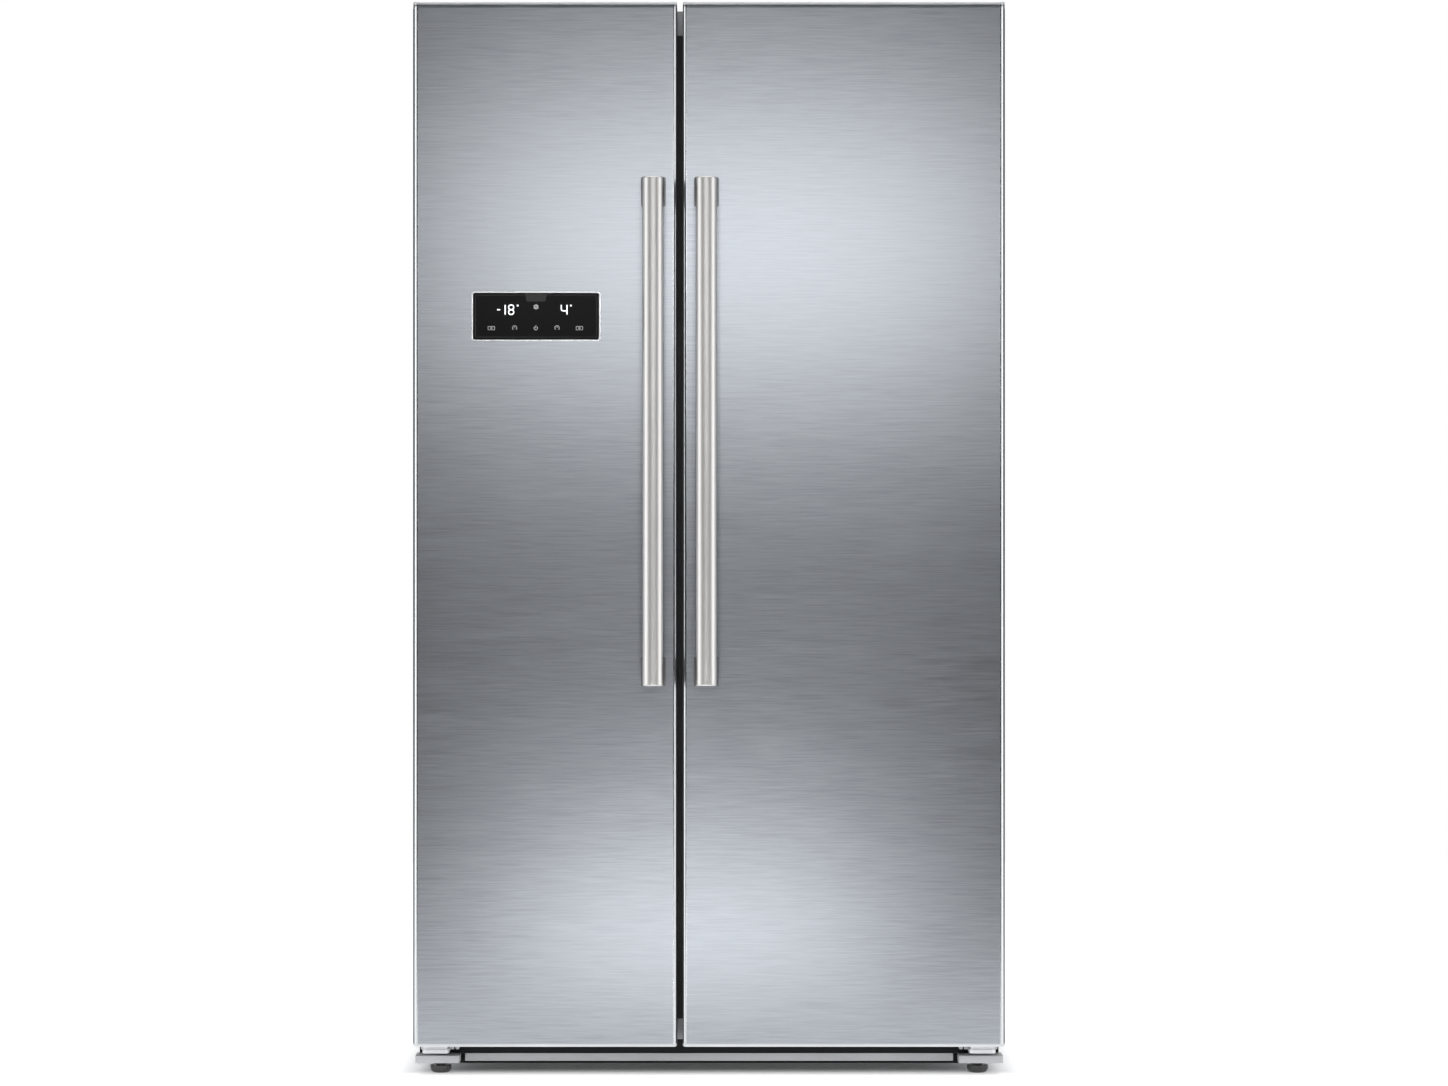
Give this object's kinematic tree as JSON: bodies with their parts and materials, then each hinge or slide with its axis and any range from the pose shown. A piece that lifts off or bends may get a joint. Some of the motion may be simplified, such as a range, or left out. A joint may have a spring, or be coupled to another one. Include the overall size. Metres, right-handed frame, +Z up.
{
  "type": "side by side refrigerator",
  "caption": "Side-by-side refrigerator: full-height freezer and fridge doors on vertical hinges, bar handles by the gap, a display window, shelves, drawers and a rear machine bay.",
  "frame": {"origin": "on the floor, under the middle of the bounding box", "axes": "+Z up, +X to the right as seen from the front, doors and handles facing -Y"},
  "size_m": [0.915, 0.768, 1.671],
  "materials": {
    "cabinet_paint": "satin grey paint",
    "rear_steel": "galvanised steel",
    "foam": "rigid insulating foam",
    "white_liner": "white gloss",
    "zinc_steel": "zinc-plated",
    "grey_plastic": "satin grey",
    "hinge_steel": "light grey paint",
    "black_enamel": "black enamel",
    "coil_steel": "black",
    "dark_plastic": "matte black",
    "copper": "drawn copper",
    "fin_aluminium": "mill finish",
    "lamp_lens": "frosted",
    "trim_plastic": "satin silver-white",
    "bezel_silver": "satin silver",
    "display_black": "polished black",
    "foot_plastic": "matte black",
    "clear_drawer": "clear",
    "shelf_glass": "toughened",
    "stainless": "fine horizontal brushing",
    "gasket_rubber": "soft matte grey",
    "handle_metal": "brushed",
    "post_metal": "satin dark silver"
  },
  "bodies": {
    "cabinet": {"base_frame": "zinc_steel", "cabinet_foam": "foam", "cabinet_liners": "white_liner", "compressor": "black_enamel", "condenser": "coil_steel", "condenser_fan_shroud": "dark_plastic", "control_module": "dark_plastic", "drawer_rails": "white_liner", "drip_tray": "dark_plastic", "evaporator": "fin_aluminium", "evaporator_cover": "white_liner", "evaporator_fan_motor": "dark_plastic", "freezer_shelf_1": "shelf_glass", "freezer_shelf_2": "shelf_glass", "freezer_shelf_3": "shelf_glass", "freezer_shelf_4": "shelf_glass", "fridge_air_duct": "foam", "fridge_shelf_1": "shelf_glass", "fridge_shelf_2": "shelf_glass", "fridge_shelf_3": "shelf_glass", "fridge_shelf_4": "shelf_glass", "hinge_bolts": "zinc_steel", "interior_lamps": "lamp_lens", "lower_hinges": "hinge_steel", "machine_cover": "zinc_steel", "outer_shell": "cabinet_paint", "plinth_panels": "grey_plastic", "rear_panel": "rear_steel", "refrigerant_tubes": "copper", "shelf_trims": "trim_plastic", "upper_hinge_covers": "grey_plastic", "upper_hinges": "hinge_steel"},
    "freezer_door": {"freezer_door_bins": "clear_drawer", "freezer_door_caps": "grey_plastic", "freezer_door_foam": "foam", "freezer_door_gasket": "gasket_rubber", "freezer_door_liner": "white_liner", "freezer_door_skin": "stainless", "freezer_handle_bar": "handle_metal", "freezer_handle_posts": "post_metal", "display_bezel": "bezel_silver", "display_glass": "display_black"},
    "fridge_door": {"fridge_door_bins": "clear_drawer", "fridge_door_caps": "grey_plastic", "fridge_door_foam": "foam", "fridge_door_gasket": "gasket_rubber", "fridge_door_liner": "white_liner", "fridge_door_skin": "stainless", "fridge_handle_bar": "handle_metal", "fridge_handle_posts": "post_metal"},
    "freezer_lower_drawer": {"freezer_drawer_lower": "clear_drawer"},
    "freezer_upper_drawer": {"freezer_drawer_upper": "clear_drawer"},
    "crisper_lower_drawer": {"crisper_drawer_lower": "clear_drawer"},
    "crisper_upper_drawer": {"crisper_drawer_upper": "clear_drawer"},
    "condenser_fan": {"condenser_fan": "dark_plastic"},
    "evaporator_fan": {"evaporator_fan": "dark_plastic"},
    "left_foot": {"front_left_foot": "foot_plastic"},
    "right_foot": {"front_right_foot": "foot_plastic"},
    "left_roller": {"rear_left_roller": "foot_plastic"},
    "right_roller": {"rear_right_roller": "foot_plastic"}
  },
  "joints": [
    {"name": "freezer_door_hinge", "type": "hinge", "parent": "cabinet", "child": "freezer_door", "pos_m": [-0.4355, -0.306, 0.05], "axis": [0, 0, -1], "range_deg": [0, 130]},
    {"name": "fridge_door_hinge", "type": "hinge", "parent": "cabinet", "child": "fridge_door", "pos_m": [0.4355, -0.306, 0.05], "axis": [0, 0, 1], "range_deg": [0, 130]},
    {"name": "freezer_lower_drawer_slide", "type": "slide", "parent": "cabinet", "child": "freezer_lower_drawer", "axis": [0, -1, 0], "range_m": [0, 0.14]},
    {"name": "freezer_upper_drawer_slide", "type": "slide", "parent": "cabinet", "child": "freezer_upper_drawer", "axis": [0, -1, 0], "range_m": [0, 0.25]},
    {"name": "crisper_lower_drawer_slide", "type": "slide", "parent": "cabinet", "child": "crisper_lower_drawer", "axis": [0, -1, 0], "range_m": [0, 0.14]},
    {"name": "crisper_upper_drawer_slide", "type": "slide", "parent": "cabinet", "child": "crisper_upper_drawer", "axis": [0, -1, 0], "range_m": [0, 0.25]},
    {"name": "condenser_fan_spin", "type": "hinge", "parent": "cabinet", "child": "condenser_fan", "pos_m": [-0.02, 0.264, 0.166], "axis": [1, 0, 0], "continuous": true},
    {"name": "evaporator_fan_spin", "type": "hinge", "parent": "cabinet", "child": "evaporator_fan", "pos_m": [-0.239, 0.268, 1.18], "axis": [0, 1, 0], "continuous": true},
    {"name": "left_foot_screw", "type": "slide", "parent": "cabinet", "child": "left_foot", "axis": [0, 0, -1], "range_m": [0, 0.012]},
    {"name": "right_foot_screw", "type": "slide", "parent": "cabinet", "child": "right_foot", "axis": [0, 0, -1], "range_m": [0, 0.012]},
    {"name": "left_roller_axle", "type": "hinge", "parent": "cabinet", "child": "left_roller", "pos_m": [-0.404, 0.318, 0.02], "axis": [1, 0, 0], "continuous": true},
    {"name": "right_roller_axle", "type": "hinge", "parent": "cabinet", "child": "right_roller", "pos_m": [0.404, 0.318, 0.02], "axis": [1, 0, 0], "continuous": true}
  ],
  "couplings": [
    {"joint": "freezer_lower_drawer_slide", "follows": "freezer_door_hinge", "m_per_rad": 0.0615},
    {"joint": "freezer_upper_drawer_slide", "follows": "freezer_door_hinge", "m_per_rad": 0.11},
    {"joint": "crisper_lower_drawer_slide", "follows": "fridge_door_hinge", "m_per_rad": 0.0615},
    {"joint": "crisper_upper_drawer_slide", "follows": "fridge_door_hinge", "m_per_rad": 0.11}
  ]
}
